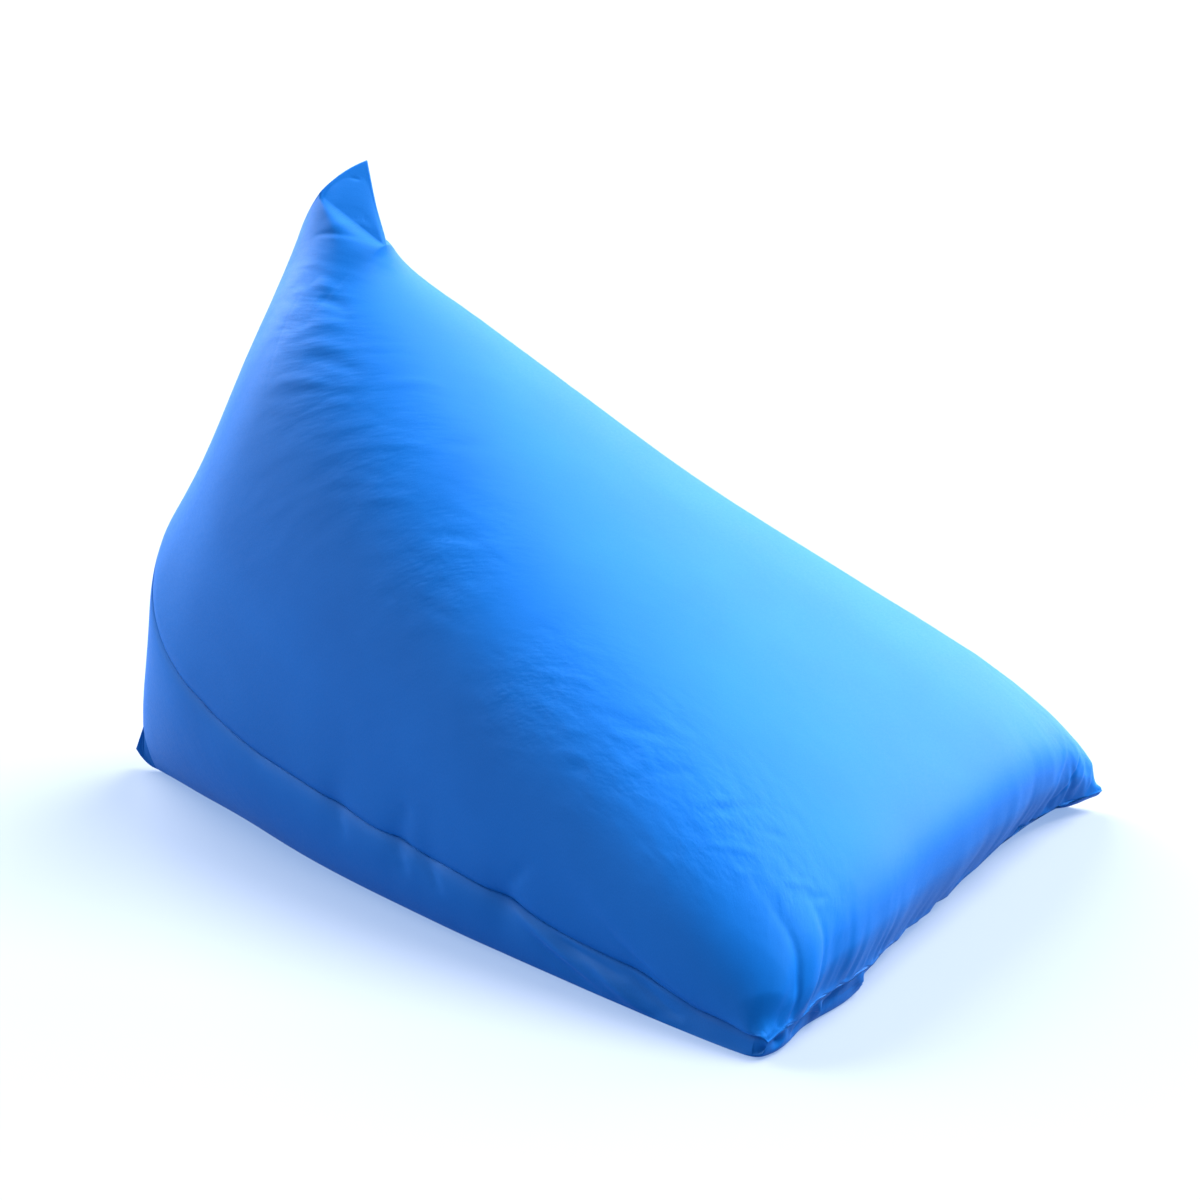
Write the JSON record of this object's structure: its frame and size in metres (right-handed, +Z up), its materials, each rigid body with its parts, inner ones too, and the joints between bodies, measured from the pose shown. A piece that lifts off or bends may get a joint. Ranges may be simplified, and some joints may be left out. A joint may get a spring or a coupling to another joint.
{
  "type": "tetrahedral pouf",
  "caption": "Soft filled floor pouf in the shape of a tetrahedron, of stretched plain blue cloth with flat ears at its corners, used as a low seat with a leaning back.",
  "frame": {"origin": "centre of the footprint's bounding box, on the floor", "axes": "+Z up, +Y from the front seam towards the upright closing seam at the back, +X to the right seen from the front"},
  "size_m": [0.8984, 1.1534, 0.7909],
  "materials": {
    "blue_cloth": "satin"
  },
  "bodies": {
    "root": {"upper_panel": "blue_cloth", "lower_panel": "blue_cloth"}
  },
  "joints": []
}
